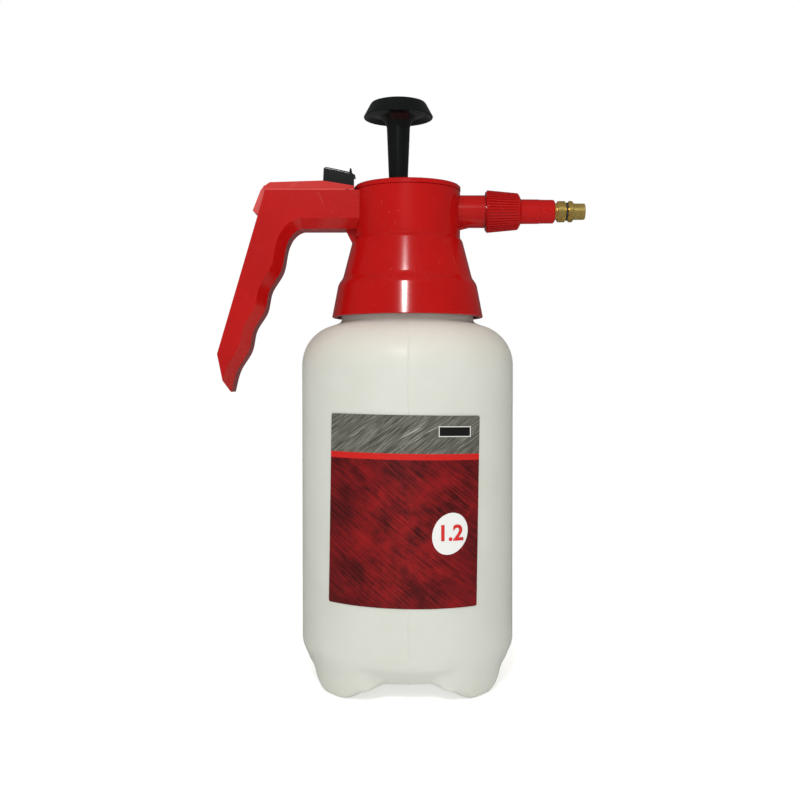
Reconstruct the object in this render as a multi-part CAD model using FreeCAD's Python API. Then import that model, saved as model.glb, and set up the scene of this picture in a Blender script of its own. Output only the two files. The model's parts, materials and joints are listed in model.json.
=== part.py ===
"""Hand pump sprayer: blow-moulded bottle, screw-on head with a pistol grip, hand pump and trigger valve.

Millimetres. The origin is on the bottle's axis, on the ground. +Z is up, +X points out of the nozzle, and
-Y is the front, where the label is.
"""
import FreeCAD, Part
import math
import os
from FreeCAD import Vector

# ---- driving dimensions -----------------------------------------------------------------------------------
# bottle
BOTTLE_R = 52.0
BOTTLE_WALL = 1.6
BOTTLE_BODY_TOP = 156.5          # height where the straight side ends and the shoulder starts
NECK_R = 32.0
BASE_TAPER_H = 23.3              # height where the base taper meets the straight side
FOOT_RIM_R = 43.6                # outer edge of the feet where they touch the ground
FOOT_EDGE_H = 5.0                # height of the rounding at the feet's outer edge
FOOT_EDGE_R = 45.7
FOOT_POCKET_R = 6.0              # widest radius of the hollow inside each foot
ARCH_H = 8.5                     # height of the four arches between the feet
ARCH_TOP_W = 30.0
ARCH_FOOT_W = 50.0
PANEL_TOP_H = 19.0               # top of the slanted panel over each arch
PANEL_TOP_W = 58.0
PANEL_BOTTOM_R = 41.0            # how far out the panel's lower edge lies
NECK_H = 22.0                    # from the end of the shoulder to the mouth
THREAD_ROOT_R = 28.6
THREAD_DEPTH = 1.4
THREAD_PITCH = 4.0
THREAD_TURNS = 2.25
NECK_WALL = 2.1
PARTING_RIB = 0.25               # how far the mould's parting line stands out
PARTING_W = 0.8
BEAD_H = 4.5                     # height of the bead under the thread

# label
LABEL_T = 0.3
LABEL_W = 68.0
LABEL_H = 87.0
LABEL_BOTTOM = 46.4
LABEL_SHIFT = -1.9
LABEL_CORNER = 0.8
LABEL_TILT = 0.95                # degrees, clockwise seen from the front: it is stuck on by hand

# head, from the collar up
GASKET_T = 1.6
COLLAR_R = 37.3
COLLAR_DROP = 20.1               # from the pressure web's underside down to the collar's edge
COLLAR_H = 15.5
COLLAR_TOP_R = 34.3
HEAD_CONE_R = 31.7
HEAD_CONE_TOP_R = 27.2
HEAD_R = 26.0
HEAD_EASE = 0.35                 # how far the head's edges are broken, along each side
HEAD_WALL = 2.2
WEB_T = 3.5
WINDOW_W = 10.0                  # window in the drum for the push fork
RIB_T = 3.2                      # thickness of the rib under the outlet boss
GUSSET_T = 3.0
HEAD_CONE_H = 17.3               # height of the cone over the web
HEAD_TOP = 42.2                  # from the web's underside to the rim
CAP_R = 26.2
CAP_T = 2.3

# pump
PUMP_X = -4.5
BARREL_R = 14.0
BARREL_WALL = 1.6
PISTON_LEN = 14.0
STROKE_UP = 20.0
STROKE_DOWN = 32.0
FLOOR_MARGIN = 1.5               # from the piston's lowest place to the barrel's floor
FLOOR_T = 2.0
FLANGE_W = 3.4                   # the barrel flange's width past the barrel
FLANGE_T = 2.2
BARREL_DROP = 6.3                # from the head's rim down to the barrel's top
BARREL_RING = 2.7                # thickness of the rubber ring under the flange
PORT_R = 1.3
UMBRELLA_R = 8.2
UMBRELLA_STEM_R = 1.5
CAGE_WALL = 1.5
SEAL_H = 3.4
SEAL_DEPTH = 3.15                # the piston seal's depth from the barrel's wall inwards
PLUNGER_END_R = 3.2              # the plunger's end inside the piston
ROD_R = 4.7
ROD_TOP_R = 5.75
KNOB_R = 17.1
KNOB_TOP_R = 13.4
KNOB_H = 7.5
KNOB_GAP = 33.9                  # free rod between cap and knob at rest

# outlet, nut and nozzle
OUTLET_H = 32.4                  # outlet axis over the web's underside
BOSS_R = 8.0
BOSS_END = 38.0
BOSS_THREAD_R = 7.0
BOSS_THREAD_LEN = 9.0
SEAL_T = 1.0                     # nozzle seal
FLANGE_X_T = 1.65                # the nozzle tube's flange
NUT_LEN = 16.2
NUT_R = 10.4
NUT_TOP_R = 9.0
NUT_RIBS = 44
NUT_RIB_H = 0.45
NUT_RIB_T = 0.84
NOZZLE_R = 6.1
NOZZLE_TOP_R = 5.8
NOZZLE_END = 72.6
NOZZLE_BORE = 2.2
BRASS_NECK_R = 4.1
RING_R = 5.2
RING_LEN = 4.2
RING_GAP = 1.1
TIP_RING_LEN = 2.7
TIP_R = 4.0
TIP_LEN = 5.8
ORIFICE_R = 0.5
SPIGOT_R = 3.2                   # brass spigot pressed into the nozzle tube
SPIGOT_LEN = 7.9
NOSE_R = 2.9                     # brass nose that the tip turns on
NOSE_BORE = 1.3
KNURLS = 36
KNURL_H = 0.25
KNURL_T = 0.52

# grip
GRIP_T = 23.0
GRIP_WALL = 2.3
GRIP_BACK_X = -69.0
GRIP_ANGLE = 16.5                # lean of the grip's back from the vertical, degrees
BRIDGE_TOP = 41.2                # height of the bridge's top over the web's underside
BRIDGE_H = 18.2
GRIP_LEN = 97.8                  # from the bridge's top down to the grip's pointed end
FINGER_PITCH = 19.0
FINGER_DEPTH = 0.85              # height of the finger waves over and under their mean line
FINGER_BEVEL = 4.6               # the sloped band along each side of the finger face
COVER_H = 5.2
COVER_BEVEL = 6.0                # width of the sloped band along each side of the cover
TAIL_LEN = 12.5                  # the cover's lip down the grip's back

# trigger and valve
PIN_R = 1.5
PIN_X = -29.3
LEVER = 7.6                      # from the pin down to the push fork's axis
TRIGGER_W = 10.0
TRIGGER_LEN = 16.0
TRIGGER_RISE = 12.2
TRIGGER_SLOPE = 11.7             # fall of the thumb face towards its front, degrees
TOE_R = 0.9
FORK_T = 3.0
FORK_W = 1.75
FORK_GAP = 0.15                  # between the fork and the pump barrel
VALVE_TRAVEL = 2.0
VALVE_R = 6.6
VALVE_SPIGOT_R = 4.9
CHAMBER_R = 2.9
SPRING_R = 2.1
SPRING_WIRE_R = 0.3
SPRING_TURNS = 5
STEM_R = 1.5
DIP_R = 3.5
DIP_BORE = 2.2
DIP_BEND_H = 80.0
DIP_END = (29.0, -26.0, 25.0)
STRAINER_R = 4.0
STRAINER_LEN = 14.0

# clearances
RUN = 0.08                       # running fit on the radius
FIT = 0.05                       # parts that are pushed together
GAP = 0.3                        # free space between parts that move past each other

# ---- heights that follow ----------------------------------------------------------------------------------
SHOULDER_R = BOTTLE_R - NECK_R   # radius of the shoulder's quarter circle
SHOULDER_TOP = BOTTLE_BODY_TOP + SHOULDER_R
MOUTH_Z = SHOULDER_TOP + NECK_H
WEB_Z = MOUTH_Z + GASKET_T
COLLAR_Z = WEB_Z - COLLAR_DROP
RIM_Z = WEB_Z + HEAD_TOP
CAP_Z = RIM_Z + CAP_T
AXIS_Z = WEB_Z + OUTLET_H
BRIDGE_Z = WEB_Z + BRIDGE_TOP
BARREL_TOP = RIM_Z - BARREL_DROP
BARREL_BORE = BARREL_R - BARREL_WALL
PISTON_TOP = BARREL_TOP - GAP - STROKE_UP
PISTON_BOTTOM = PISTON_TOP - PISTON_LEN
BARREL_FLOOR = PISTON_BOTTOM - STROKE_DOWN - FLOOR_MARGIN
NECK_BORE = THREAD_ROOT_R - NECK_WALL
HEAD_BORE = HEAD_R - HEAD_WALL
PIN_Z = AXIS_Z + LEVER

X_AXIS = Vector(1, 0, 0)
Y_AXIS = Vector(0, 1, 0)
Z_AXIS = Vector(0, 0, 1)


# ---- helpers ----------------------------------------------------------------------------------------------
def revolve_z(points, x=0.0):
    """A solid of revolution about the vertical line at x, from (radius, height) points."""
    corners = [Vector(x + r, 0, z) for r, z in points]
    face = Part.Face(Part.makePolygon(corners + corners[:1]))
    return face.revolve(Vector(x, 0, 0), Z_AXIS, 360)


def eased(points, size):
    """The outline with each corner between its ends broken, size along both sides."""
    result = [points[0]]
    for before, corner, after in zip(points[:-2], points[1:-1], points[2:]):
        for other in (before, after):
            length = math.dist(corner, other)
            share = min(size, length * 0.3) / length
            result.append(tuple(c + (o - c) * share for c, o in zip(corner, other)))
    return result + [points[-1]]


def revolve_x(points, z):
    """A solid of revolution about the horizontal X line at height z, from (x, radius) points."""
    corners = [Vector(px, 0, z + r) for px, r in points]
    face = Part.Face(Part.makePolygon(corners + corners[:1]))
    return face.revolve(Vector(0, 0, z), X_AXIS, 360)


def rod_x(x0, x1, r, z, y=0.0):
    return Part.makeCylinder(r, x1 - x0, Vector(x0, y, z), X_AXIS)


def rod_z(z0, z1, r, x=0.0, y=0.0):
    return Part.makeCylinder(r, z1 - z0, Vector(x, y, z0), Z_AXIS)


def block(x0, x1, y0, y1, z0, z1):
    return Part.makeBox(x1 - x0, y1 - y0, z1 - z0, Vector(x0, y0, z0))


def slab_y(points, half):
    """A flat plate, 2 * half thick and centred on Y = 0, from (x, z) points."""
    corners = [Vector(x, -half, z) for x, z in points]
    face = Part.Face(Part.makePolygon(corners + corners[:1]))
    return face.extrude(Vector(0, 2 * half, 0))


def turned(shape, degrees, count):
    """The shape copied count times about the bottle's axis."""
    copies = []
    for i in range(count):
        copy = shape.copy()
        copy.rotate(Vector(0, 0, 0), Z_AXIS, degrees * i)
        copies.append(copy)
    return copies


def turned_x(shape, count):
    """The shape copied count times about the outlet's axis."""
    copies = []
    for i in range(count):
        copy = shape.copy()
        copy.rotate(Vector(0, 0, AXIS_Z), X_AXIS, 360.0 * i / count)
        copies.append(copy)
    return copies


def ring_x(x, r, thick, z):
    """An O-ring about the outlet's axis."""
    return Part.makeTorus(r, thick / 2, Vector(x, 0, z), X_AXIS)


def save(shape, node):
    solid = shape if node == "bottle" else shape.removeSplitter()
    solid.exportStep("parts/" + node + ".step")
    print(node, round(solid.Volume / 1000, 2), "cm3", len(solid.Solids), "solids", solid.isValid())


# ---- bottle -----------------------------------------------------------------------------------------------
def bottle_skin(inset):
    """The bottle's outside without its feet, or its inside when inset is the wall."""
    outside = inset == 0
    r = BOTTLE_R - inset
    bend = SHOULDER_R - inset
    neck = NECK_R if outside else NECK_BORE
    low = 0.0 if outside else ARCH_H + inset
    foot = FOOT_RIM_R if outside else PANEL_BOTTOM_R - inset
    slope_z = BASE_TAPER_H - inset
    top = MOUTH_Z if outside else MOUTH_Z + 1
    start = Vector(0, 0, low)
    edges = [Part.makeLine(start, Vector(foot, 0, low))]
    if outside:
        middle = Vector((FOOT_RIM_R + FOOT_EDGE_R) / 2 + 0.55, 0, FOOT_EDGE_H * 0.36)
        corner = Vector(FOOT_EDGE_R, 0, FOOT_EDGE_H)
        edges.append(Part.Arc(Vector(foot, 0, low), middle, corner).toShape())
        edges.append(Part.makeLine(corner, Vector(r, 0, slope_z)))
    else:
        edges.append(Part.makeLine(Vector(foot, 0, low), Vector(r, 0, slope_z)))
    side_top = Vector(r, 0, BOTTLE_BODY_TOP)
    edges.append(Part.makeLine(Vector(r, 0, slope_z), side_top))
    centre = Vector(NECK_R, 0, BOTTLE_BODY_TOP)
    half = math.sqrt(0.5) * bend
    shoulder_mid = centre + Vector(half, 0, half)
    shoulder_end = centre + Vector(0, 0, bend)
    edges.append(Part.Arc(side_top, shoulder_mid, shoulder_end).toShape())
    if outside:
        bead = Vector(neck, 0, SHOULDER_TOP + BEAD_H)
        root = Vector(THREAD_ROOT_R, 0, SHOULDER_TOP + BEAD_H + 1.0)
        mouth = Vector(THREAD_ROOT_R, 0, top)
        edges.append(Part.makeLine(shoulder_end, bead))
        edges.append(Part.makeLine(bead, root))
        edges.append(Part.makeLine(root, mouth))
    else:
        root = Vector(neck, 0, SHOULDER_TOP + 3.0)
        mouth = Vector(neck, 0, top)
        edges.append(Part.makeLine(shoulder_end, root))
        edges.append(Part.makeLine(root, mouth))
    axis_top = Vector(0, 0, top)
    edges.append(Part.makeLine(mouth, axis_top))
    edges.append(Part.makeLine(axis_top, start))
    return Part.Face(Part.Wire(edges)).revolve(Vector(0, 0, 0), Z_AXIS, 360)


def prism_x(points, x1):
    """A bar along X from the axis to x1, from (y, z) points."""
    corners = [Vector(0, y, z) for y, z in points]
    return Part.Face(Part.makePolygon(corners + corners[:1])).extrude(Vector(x1, 0, 0))


def arch_cut():
    """One arch, and the slanted panel over it that narrows down to the arch's roof, at the +X side."""
    far = BOTTLE_R + 5
    foot = ARCH_FOOT_W / 2
    roof = ARCH_TOP_W / 2
    top = PANEL_TOP_W / 2
    under = ARCH_H - 0.01
    arch = prism_x([(-foot, 0), (-roof, ARCH_H), (roof, ARCH_H), (foot, 0), (foot, -1), (-foot, -1)], far)
    scoop = prism_x([(-roof, under), (-top, PANEL_TOP_H), (top, PANEL_TOP_H), (roof, under)], far)
    wedge = [
        (PANEL_BOTTOM_R, 0), (PANEL_BOTTOM_R, ARCH_H), (BOTTLE_R, PANEL_TOP_H), (far, PANEL_TOP_H), (far, 0),
    ]
    return arch, scoop.common(slab_y(wedge, BOTTLE_R))


def neck_thread():
    """The raised helical thread that the head screws down on."""
    low = SHOULDER_TOP + BEAD_H + 2.5
    height = THREAD_PITCH * THREAD_TURNS
    helix = Part.makeHelix(THREAD_PITCH, height, THREAD_ROOT_R)
    inner = THREAD_ROOT_R - 0.4
    crest = THREAD_ROOT_R + THREAD_DEPTH
    corners = [Vector(inner, 0, -1.2), Vector(crest, 0, -0.4), Vector(crest, 0, 0.4), Vector(inner, 0, 1.2)]
    profile = Part.makePolygon(corners + corners[:1])
    thread = Part.Wire(helix.Edges).makePipeShell([profile], True, True)
    thread.translate(Vector(0, 0, low))
    return thread


def make_bottle():
    body = bottle_skin(0)
    arch, panel = arch_cut()
    body = body.cut(turned(arch, 90, 4) + turned(panel, 90, 4))
    body = body.cut(bottle_skin(BOTTLE_WALL))
    foot_at = FOOT_RIM_R * 0.62
    pocket_floor = BOTTLE_WALL + 1.0
    pocket = Part.makeCone(
        FOOT_POCKET_R * 0.3, FOOT_POCKET_R, ARCH_H, Vector(foot_at, foot_at, pocket_floor), Z_AXIS)
    body = body.cut(turned(pocket, 90, 4))
    half = PARTING_W / 2
    root = BOTTLE_R - 0.5
    crest = BOTTLE_R + PARTING_RIB
    label_top = LABEL_BOTTOM + LABEL_H
    back_rib = block(-half, half, root, crest, BASE_TAPER_H, BOTTLE_BODY_TOP)
    low_rib = block(-half, half, -crest, -root, BASE_TAPER_H, LABEL_BOTTOM - 1.5)
    high_rib = block(-half, half, -crest, -root, label_top + 1.5, BOTTLE_BODY_TOP)
    body = body.fuse([back_rib, low_rib, high_rib])
    return body.fuse(neck_thread())


def make_label():
    shell = rod_z(LABEL_BOTTOM - 5, LABEL_BOTTOM + LABEL_H + 5, BOTTLE_R + LABEL_T)
    shell = shell.cut(rod_z(LABEL_BOTTOM - 6, LABEL_BOTTOM + LABEL_H + 6, BOTTLE_R))
    x0 = LABEL_SHIFT - LABEL_W / 2
    sheet = block(x0, x0 + LABEL_W, -BOTTLE_R - 5, -5, LABEL_BOTTOM, LABEL_BOTTOM + LABEL_H)
    upright = [e for e in sheet.Edges if abs(e.tangentAt(e.FirstParameter).y) > 0.99]
    sheet = sheet.makeFillet(LABEL_CORNER, upright)
    sheet.rotate(Vector(LABEL_SHIFT, 0, LABEL_BOTTOM + LABEL_H / 2), Y_AXIS, LABEL_TILT)
    return shell.common(sheet)


# ---- head -------------------------------------------------------------------------------------------------
def finger_points():
    """The grip's finger face, from the bridge down, as (x, z): three waves on a slope."""
    lean = math.tan(math.radians(GRIP_ANGLE))
    top_z = BRIDGE_Z - BRIDGE_H
    points = [
        (GRIP_BACK_X + 17.5, top_z), (GRIP_BACK_X + 13.3, top_z - 2.4), (GRIP_BACK_X + 9.7, top_z - 9.0),
    ]
    first = top_z - 21.0
    for i in range(6):
        z = first - i * FINGER_PITCH / 2
        base = GRIP_BACK_X + 6.1 - (first - z) * lean * 1.37
        side = FINGER_DEPTH if i % 2 == 0 else -FINGER_DEPTH
        points.append((base + side, z))
    return points


def grip_tip():
    lean = math.tan(math.radians(GRIP_ANGLE))
    tip_z = BRIDGE_Z - GRIP_LEN
    return GRIP_BACK_X - (GRIP_LEN - 18.0) * lean + 6.0, tip_z


def grip_back(z):
    """Where the grip's back is at a height."""
    return GRIP_BACK_X - (BRIDGE_Z - z) * math.tan(math.radians(GRIP_ANGLE))


def finger_edges(grip, side):
    """The grip's wavy edges, and the bridge's lower ones, at a distance from the middle plane."""
    found = []
    for e in grip.Edges:
        box = e.BoundBox
        on_side = box.YLength < 0.01 and abs(abs(box.YMin) - side) < 0.01
        under = box.ZLength < 0.01 and abs(box.ZMin - (BRIDGE_Z - BRIDGE_H)) < 0.01
        if on_side and (under or isinstance(e.Curve, Part.BSplineCurve)):
            found.append(e)
    return found


def make_grip():
    half = GRIP_T / 2
    curve_points = finger_points()
    tip = grip_tip()
    over = 12.0
    curve_points.append((tip[0] + 0.8, tip[1] + 1.6))
    curve_points.append((tip[0] - over * 0.35, tip[1] - over))
    curve = Part.BSplineCurve()
    curve.interpolate([Vector(x, -half, z) for x, z in curve_points])
    outline = [
        curve_points[-1],
        (grip_back(tip[1] - over), tip[1] - over),
        (GRIP_BACK_X, BRIDGE_Z),
        (0.0, BRIDGE_Z),
        (0.0, BRIDGE_Z - BRIDGE_H),
        curve_points[0],
    ]
    edges = [curve.toShape()]
    for a, b in zip(outline[:-1], outline[1:]):
        edges.append(Part.makeLine(Vector(a[0], -half, a[1]), Vector(b[0], -half, b[1])))
    edges = Part.sortEdges(edges)[0]
    grip = Part.Face(Part.Wire(edges)).extrude(Vector(0, GRIP_T, 0))
    grip = grip.makeChamfer(FINGER_BEVEL, finger_edges(grip, half))
    corner_z = tip[1] + 18.3
    heel_x = grip_back(corner_z)
    below = tip[1] - over - 5
    heel = [
        (heel_x - 20, corner_z), (heel_x, corner_z), (heel_x + 2.6, tip[1] + 5.5), tip,
        (tip[0] + 8, tip[1] - 3), (tip[0] + 8, below), (heel_x - 20, below),
    ]
    return grip.cut(slab_y(heel, GRIP_T))


def head_outside():
    """The head's turned outside: collar, two cones and the drum."""
    w = WEB_Z
    collar_top = COLLAR_Z + COLLAR_H
    cone_top = w + HEAD_CONE_H
    return revolve_z(eased([
        (0, COLLAR_Z), (COLLAR_R, COLLAR_Z), (COLLAR_TOP_R, collar_top),
        (COLLAR_TOP_R - 0.7, collar_top + 1.5), (HEAD_CONE_R + 0.5, w - 1.2), (HEAD_CONE_R, w),
        (HEAD_CONE_TOP_R, cone_top), (HEAD_R, cone_top + 1.5), (HEAD_R, RIM_Z), (0, RIM_Z),
    ], HEAD_EASE))


def head_inside():
    """Screw socket under the web, and the room over it."""
    w = WEB_Z
    bore = THREAD_ROOT_R + THREAD_DEPTH + GAP
    bead = NECK_R + 1.2
    socket = revolve_z([
        (0, COLLAR_Z - 1), (COLLAR_R - HEAD_WALL, COLLAR_Z - 1), (COLLAR_R - HEAD_WALL - 0.4, COLLAR_Z + 2.0),
        (bead, COLLAR_Z + 4.0), (bore, COLLAR_Z + 6.0), (bore, w), (0, w),
    ])
    cone_top = w + HEAD_CONE_H
    room = revolve_z([
        (0, w + WEB_T), (HEAD_CONE_R - HEAD_WALL - 0.9, w + WEB_T), (HEAD_CONE_TOP_R - HEAD_WALL, cone_top),
        (HEAD_BORE, cone_top + 1.5), (HEAD_BORE, RIM_Z + 1), (0, RIM_Z + 1),
    ])
    return socket, room


def grip_core():
    """The hollow that is cored out of the bridge and grip from above."""
    half = GRIP_T / 2 - GRIP_WALL
    floor_z = BRIDGE_Z - BRIDGE_H + GRIP_WALL + 2.0
    low_z = BRIDGE_Z - GRIP_LEN * 0.62
    outline = [
        (-HEAD_R - 0.4, BRIDGE_Z + 1), (-HEAD_R - 0.4, floor_z), (GRIP_BACK_X + 14.5, floor_z - 0.6),
        (GRIP_BACK_X + 5.0, floor_z - 12), (grip_back(low_z) + 9.0, low_z), (grip_back(low_z) + 3.0, low_z),
        (GRIP_BACK_X + 3.0, BRIDGE_Z - 2), (GRIP_BACK_X + 3.0, BRIDGE_Z + 1),
    ]
    return slab_y(outline, half)


def pin_slot_half():
    """Half the width, along Y, of the slot that holds the trigger's pin."""
    return GRIP_T / 2 - 1.1


def make_head():
    head = head_outside()
    grip = make_grip().cut(rod_z(COLLAR_Z - 60, RIM_Z + 20, HEAD_R - 1.0))
    under_bridge = BRIDGE_Z - BRIDGE_H
    gusset_foot = WEB_Z + 15
    gusset = slab_y([
        (-HEAD_R - 4.5, under_bridge), (2 - HEAD_R, under_bridge), (2 - HEAD_R, gusset_foot),
        (-HEAD_R - 0.5, gusset_foot),
    ], GUSSET_T / 2)
    boss = rod_x(0, BOSS_END, BOSS_R, AXIS_Z)
    thread = rod_x(BOSS_END, BOSS_END + BOSS_THREAD_LEN, BOSS_THREAD_R, AXIS_Z)
    rib_low = AXIS_Z - BOSS_R - 1
    rib_end = BOSS_END - 4
    boss_rib = slab_y([
        (0, rib_low), (HEAD_R, rib_low), (rib_end, rib_low + 2), (rib_end, AXIS_Z), (0, AXIS_Z),
    ], RIB_T / 2)
    head = head.fuse([grip, gusset, boss, thread, boss_rib])
    socket, room = head_inside()
    half_window = WINDOW_W / 2
    fork_low = AXIS_Z - FORK_T
    push_window = block(-HEAD_R - 2, -HEAD_BORE + 1, -half_window, half_window, fork_low, AXIS_Z + 3.5)
    slot_half = pin_slot_half()
    pin_slot = block(PIN_X - PIN_R - RUN, PIN_X + PIN_R + RUN, -slot_half, slot_half, PIN_Z, BRIDGE_Z + 1)
    pin_seat = Part.makeCylinder(PIN_R + RUN, 2 * slot_half, Vector(PIN_X, -slot_half, PIN_Z), Y_AXIS)
    dip_hole = rod_z(WEB_Z - 1, WEB_Z + WEB_T + 1, DIP_R + FIT, dip_x())
    ring_floor = WEB_Z + WEB_T - BARREL_RING - 0.1
    cuts = [
        socket, room, grip_core(), push_window, pin_slot, pin_seat, dip_hole,
        rod_z(WEB_Z - 1, WEB_Z + WEB_T + 1, BARREL_R + FIT, PUMP_X),
        rod_z(ring_floor, WEB_Z + WEB_T + 1, BARREL_R + BARREL_RING + 0.2, PUMP_X),
        rod_x(0, BOSS_END + 12, VALVE_SPIGOT_R + FIT, AXIS_Z),
    ]
    return head.cut(cuts)


def cover_window():
    x0, x1 = trigger_span()
    return x0 - 2.6, x1 + 0.9, TRIGGER_W / 2 + 0.5


def make_cover():
    half = GRIP_T / 2
    z = BRIDGE_Z
    front = -HEAD_R
    ridge_mid = GRIP_BACK_X + 27.3
    outline = [
        (front, z), (front, z + 2.3), (ridge_mid, z + COVER_H + 0.2), (GRIP_BACK_X + 1.8, z + COVER_H - 0.8),
        (GRIP_BACK_X - 1.0, z + COVER_H - 3.3), (GRIP_BACK_X - 0.5, z),
    ]
    roof = slab_y(outline, half)
    flat = half - COVER_BEVEL
    bevel_low = z + 0.4
    bevel_top = bevel_low + COVER_BEVEL
    section = [
        (-half, z - 1), (half, z - 1), (half, bevel_low), (flat, bevel_top), (-flat, bevel_top),
        (-half, bevel_low),
    ]
    prism = prism_x(section, front + 8 - (GRIP_BACK_X - 8))
    prism.translate(Vector(GRIP_BACK_X - 8, 0, 0))
    roof = roof.common(prism)
    lean = math.radians(GRIP_ANGLE)
    out = Vector(-math.cos(lean), 0, math.sin(lean))
    down = Vector(-math.sin(lean), 0, -math.cos(lean))
    top = Vector(GRIP_BACK_X, 0, z)
    tail_points = [
        top + out * FIT, top + out * FIT + down * TAIL_LEN, top + out * 3.5 + down * (TAIL_LEN - 1.5),
        top + out * 2.6 + down * 0.6, Vector(GRIP_BACK_X - 0.9, 0, z + 2.6),
        Vector(GRIP_BACK_X + 1.5, 0, z + 2.6), Vector(GRIP_BACK_X + 1.5, 0, z + 0.02),
    ]
    tail = slab_y([(p.x, p.z) for p in tail_points], half - 3.0)
    roof = roof.fuse(tail)
    wx0, wx1, wy = cover_window()
    hollow_half = half - GRIP_WALL - 1.5
    hollow = block(GRIP_BACK_X + 6, front - 2.5, -hollow_half, hollow_half, z - 1, z + 0.9)
    window = block(wx0, front + 2, -wy, wy, z - 2, z + 20)
    drum = rod_z(RIM_Z - 30, RIM_Z + 30, CAP_R + FIT)
    pin_room = Part.makeCylinder(PIN_R + FIT, GRIP_T, Vector(PIN_X, -half, PIN_Z), Y_AXIS)
    return roof.cut([window, hollow, drum, pin_room])


def trigger_span():
    """The thumb block's rear and front ends."""
    front = -HEAD_R - 0.6
    return front - TRIGGER_LEN + 0.9, front


def make_trigger():
    x0, x1 = trigger_span()
    half = TRIGGER_W / 2
    low = BRIDGE_Z + 0.6
    top = low + TRIGGER_RISE
    slope = math.tan(math.radians(TRIGGER_SLOPE))
    x_nub = x1 - 1.9
    z_front = top - (x_nub - x0) * slope
    outline = [
        (x0, low), (x1, low), (x1, z_front - 2.0), (x1 + 0.9, z_front - 1.6),
        (x_nub + 1.5, z_front - 0.9), (x_nub + 1.0, z_front + 1.4), (x_nub + 0.2, z_front + 1.7),
        (x_nub, z_front), (x0 + 1.6, top - 0.3), (x0 + 0.6, top - 1.0),
    ]
    thumb = slab_y(outline, half)
    sides = []
    for e in thumb.Edges:
        box = e.BoundBox
        if box.YLength < 0.01 and box.XLength > 9 and box.ZMin > low + 3:
            sides.append(e)
    thumb = thumb.makeFillet(0.8, sides)
    hub_r = PIN_R + 1.2
    hub = Part.makeCylinder(hub_r, TRIGGER_W, Vector(PIN_X, -half, PIN_Z), Y_AXIS)
    cheek = slab_y([
        (x0 + 2, low + 0.5), (PIN_X - hub_r, PIN_Z - 1.0), (PIN_X, PIN_Z - 2.6), (PIN_X + hub_r, PIN_Z),
        (x1 - 0.4, low + 0.5),
    ], half)
    leg_half = 3.0
    leg = block(PIN_X - 2.2, PIN_X - 0.6, -leg_half, leg_half, AXIS_Z - 1.2, PIN_Z)
    toe = Part.makeCylinder(TOE_R, 2 * leg_half, Vector(PIN_X - TOE_R - 0.05, -leg_half, AXIS_Z), Y_AXIS)
    bore = Part.makeCylinder(PIN_R + RUN, TRIGGER_W + 4, Vector(PIN_X, -half - 2, PIN_Z), Y_AXIS)
    return thumb.fuse([hub, cheek, leg, toe]).cut(bore)


def make_trigger_pin():
    half = pin_slot_half() - 0.1
    return Part.makeCylinder(PIN_R, 2 * half, Vector(PIN_X, -half, PIN_Z), Y_AXIS)


# ---- valve ------------------------------------------------------------------------------------------------
def fork_right():
    """Where the fork's front ends, against the valve's stem."""
    return PUMP_X + BARREL_R + FORK_GAP + FORK_W


def valve_left():
    return fork_right() + VALVE_TRAVEL + GAP


def dip_x():
    return valve_left() + 4.7


def make_push_fork():
    """The loop round the pump barrel that carries the trigger's push to the valve's stem."""
    low = AXIS_Z - FORK_T / 2
    high = low + FORK_T
    hole_r = BARREL_R + FORK_GAP
    out_r = hole_r + FORK_W
    back_x = PUMP_X - VALVE_TRAVEL - GAP

    def loop(r, z0, z1):
        """A disc stretched by the valve's travel."""
        return rod_z(z0, z1, r, PUMP_X).fuse([rod_z(z0, z1, r, back_x), block(back_x, PUMP_X, -r, r, z0, z1)])

    bar = block(PIN_X, back_x - hole_r - 0.5, -4.0, 4.0, low, high)
    pad = rod_x(fork_right() - 1.6, fork_right(), 3.0, AXIS_Z)
    pad = pad.common(block(0, 60, -5, 5, low, high))
    return loop(out_r, low, high).fuse([bar, pad]).cut(loop(hole_r, low - 1, high + 1))


def valve_seat_x():
    return dip_x() + 4.6


def make_valve_body():
    left = valve_left()
    seat = valve_seat_x()
    right = HEAD_BORE - 0.4
    body = rod_x(left, right, VALVE_R, AXIS_Z).fuse(rod_x(right, BOSS_END - 1.0, VALVE_SPIGOT_R, AXIS_Z))
    room = rod_z(WEB_Z, RIM_Z, HEAD_BORE - FIT)
    body = body.common(room.fuse(rod_x(0, BOSS_END, VALVE_SPIGOT_R, AXIS_Z)))
    barb_low = AXIS_Z - VALVE_R - 9
    barb = rod_z(barb_low, AXIS_Z, DIP_BORE - FIT, dip_x())
    collar = rod_z(AXIS_Z - VALVE_R - 1.0, AXIS_Z, DIP_R + 0.3, dip_x())
    body = body.fuse([barb, collar])
    chamber = rod_x(left + 3.6, seat, CHAMBER_R, AXIS_Z)
    guide = rod_x(left - 1, left + 4, STEM_R + RUN, AXIS_Z)
    gland = rod_x(left - 1, left + 2.0, CHAMBER_R + 0.1, AXIS_Z)
    throat = rod_x(seat - 0.5, seat + 1.5, STEM_R + 0.6, AXIS_Z)
    outlet = rod_x(seat + 1.2, BOSS_END, 3.3, AXIS_Z)
    feed = rod_z(barb_low - 1, AXIS_Z, 1.2, dip_x())
    return body.cut([chamber, guide, gland, throat, outlet, feed])


def make_valve_stem():
    seat = valve_seat_x()
    shaft = rod_x(fork_right(), seat + 1.6, STEM_R, AXIS_Z)
    head = rod_x(seat + 1.2 + 0.05, seat + 3.2, STEM_R + 1.2, AXIS_Z)
    nose = rod_x(seat + 3.2, seat + 6.0, 1.1, AXIS_Z)
    return shaft.fuse([head, nose])


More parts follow.
